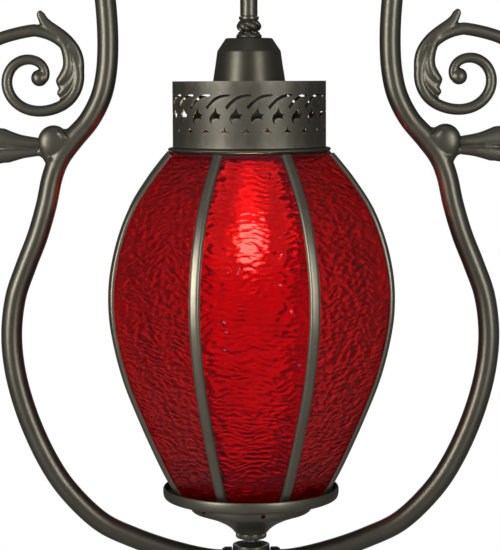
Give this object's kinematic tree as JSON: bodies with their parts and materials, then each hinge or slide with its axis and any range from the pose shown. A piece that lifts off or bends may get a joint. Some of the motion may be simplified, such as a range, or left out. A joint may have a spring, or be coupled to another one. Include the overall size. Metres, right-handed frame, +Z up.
{
  "type": "sanctuary lamp",
  "caption": "Hanging sanctuary lamp: bent red glass egg lantern with metal ribs and pierced gallery, in a lyre frame with cast scrolls, on a stem and ceiling canopy.",
  "frame": {"origin": "middle of the mounting strap's top face, where the lamp meets the ceiling", "axes": "+Z up to the ceiling; the lyre frame lies in the XZ plane, scrolls at -X and +X; the front faces -Y"},
  "size_m": [0.433, 0.2142, 0.7504],
  "materials": {
    "bronze": "satin dark bronze lacquer",
    "ruby_glass": "rippled ruby glass",
    "opal_glass": "frosted bulb",
    "porcelain": "glazed",
    "steel": "zinc plated",
    "brass": "bright"
  },
  "bodies": {
    "canopy": {"mounting_strap": "steel", "canopy_nipple": "steel", "canopy_dish": "bronze", "swivel_bearing": "bronze"},
    "swivel_yoke": {"swivel_fork": "bronze", "swivel_pin": "steel"},
    "lamp": {"bottom_ferrule_left": "bronze", "bottom_ferrule_right": "bronze", "bottom_hub": "bronze", "bulb_base": "brass", "bulb_glass": "opal_glass", "finial": "bronze", "frame_tube_left": "bronze", "frame_tube_right": "bronze", "inner_stem": "bronze", "knuckle_left": "bronze", "knuckle_right": "bronze", "pan": "bronze", "pan_collar": "bronze", "pan_nipple": "steel", "pan_nut": "steel", "scroll_bracket_left": "bronze", "scroll_bracket_right": "bronze", "socket_cap": "bronze", "socket_liner": "brass", "socket_nipple": "steel", "socket_shell": "porcelain", "stem_eye": "bronze", "top_ferrule_left": "bronze", "top_ferrule_right": "bronze", "top_hub": "bronze", "twist_coupling": "bronze", "upper_stem": "bronze"},
    "lantern": {"foot_ring": "bronze", "gallery": "bronze", "gallery_flange": "bronze", "glass_panel_1": "ruby_glass", "glass_panel_2": "ruby_glass", "glass_panel_3": "ruby_glass", "glass_panel_4": "ruby_glass", "glass_panel_5": "ruby_glass", "glass_panel_6": "ruby_glass", "glass_panel_7": "ruby_glass", "glass_panel_8": "ruby_glass", "head_ring": "bronze", "rib_1": "bronze", "rib_2": "bronze", "rib_3": "bronze", "rib_4": "bronze", "rib_5": "bronze", "rib_6": "bronze", "rib_7": "bronze", "rib_8": "bronze"}
  },
  "joints": [
    {"name": "stem_turn", "type": "hinge", "parent": "canopy", "child": "swivel_yoke", "pos_m": [0, 0, -0.05], "axis": [0, 0, 1], "range_deg": [-170, 170]},
    {"name": "stem_tilt", "type": "hinge", "parent": "swivel_yoke", "child": "lamp", "pos_m": [0, 0, -0.066], "axis": [1, 0, 0], "range_deg": [-20, 20]},
    {"name": "lantern_lift", "type": "slide", "parent": "lamp", "child": "lantern", "axis": [0, 0, 1], "range_m": [0, 0.075]}
  ]
}
